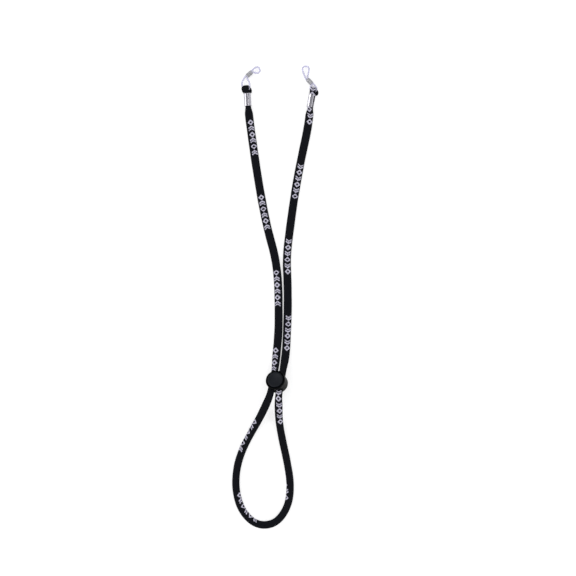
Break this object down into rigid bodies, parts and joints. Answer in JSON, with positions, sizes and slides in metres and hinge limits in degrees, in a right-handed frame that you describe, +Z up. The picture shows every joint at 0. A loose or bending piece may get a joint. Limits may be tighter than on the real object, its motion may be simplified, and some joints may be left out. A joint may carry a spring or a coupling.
{
  "type": "eyeglasses chain strap",
  "caption": "Flat tubular woven sports cord that holds eyeglasses round the neck, with an adjustable spring cord lock and a silicone temple loop on each end",
  "frame": {"origin": "On the table under the middle of the box round the hard fittings (temple ends and cord lock), the strap lying flat", "axes": "+Y from the head loop to the two temple ends, +X to the right seen from above, +Z up from the table"},
  "size_m": [0.0622, 0.342, 0.016],
  "materials": {
    "woven_cord": "black polyester tube weave with a pale woven chevron and diamond motif",
    "crimp_nickel": "bright nickel-plated folded sheet",
    "coil_steel": "bright close-wound wire",
    "clear_silicone": "clear silicone rod with a faint lavender tint",
    "barrel_plastic": "black moulded acetal with a soft sheen",
    "button_plastic": "dark grey-black moulded acetal, fine spark texture",
    "spring_steel": "plain spring wire"
  },
  "bodies": {
    "strap": {"strap_cord": "woven_cord", "cord_eye_left": "woven_cord", "cord_eye_right": "woven_cord", "crimp_left": "crimp_nickel", "crimp_right": "crimp_nickel"},
    "slider_barrel": {"slider_barrel": "barrel_plastic", "slider_spring": "spring_steel"},
    "slider_button": {"slider_button": "button_plastic"},
    "loop_left": {"silicone_loop_left": "clear_silicone"},
    "loop_right": {"silicone_loop_right": "clear_silicone"},
    "coil_left": {"coil_left": "coil_steel"},
    "coil_right": {"coil_right": "coil_steel"}
  },
  "joints": [
    {"name": "slider_slide", "type": "slide", "parent": "strap", "child": "slider_barrel", "axis": [0.118, 0.993, 0], "range_m": [0, 0.03], "deforming": ["strap_cord"]},
    {"name": "button_press", "type": "slide", "parent": "slider_barrel", "child": "slider_button", "axis": [0.2497, -0.3791, -0.891], "range_m": [0, 0.0018], "stiffness_N_per_m": 800, "springref_m": -0.001, "deforming": ["slider_spring"]},
    {"name": "loop_left_swing", "type": "hinge", "parent": "strap", "child": "loop_left", "pos_m": [-0.02395, 0.10568, 0.002], "axis": [0, 0, 1], "range_deg": [-45, 45]},
    {"name": "loop_right_swing", "type": "hinge", "parent": "strap", "child": "loop_right", "pos_m": [0.02526, 0.10455, 0.002], "axis": [0, 0, 1], "range_deg": [-45, 45]},
    {"name": "coil_left_slide", "type": "slide", "parent": "loop_left", "child": "coil_left", "axis": [0.7549, 0.6559, 0], "range_m": [0, 0.002], "deforming": ["silicone_loop_left"]},
    {"name": "coil_right_slide", "type": "slide", "parent": "loop_right", "child": "coil_right", "axis": [-0.7001, 0.7141, 0], "range_m": [0, 0.002], "deforming": ["silicone_loop_right"]}
  ]
}
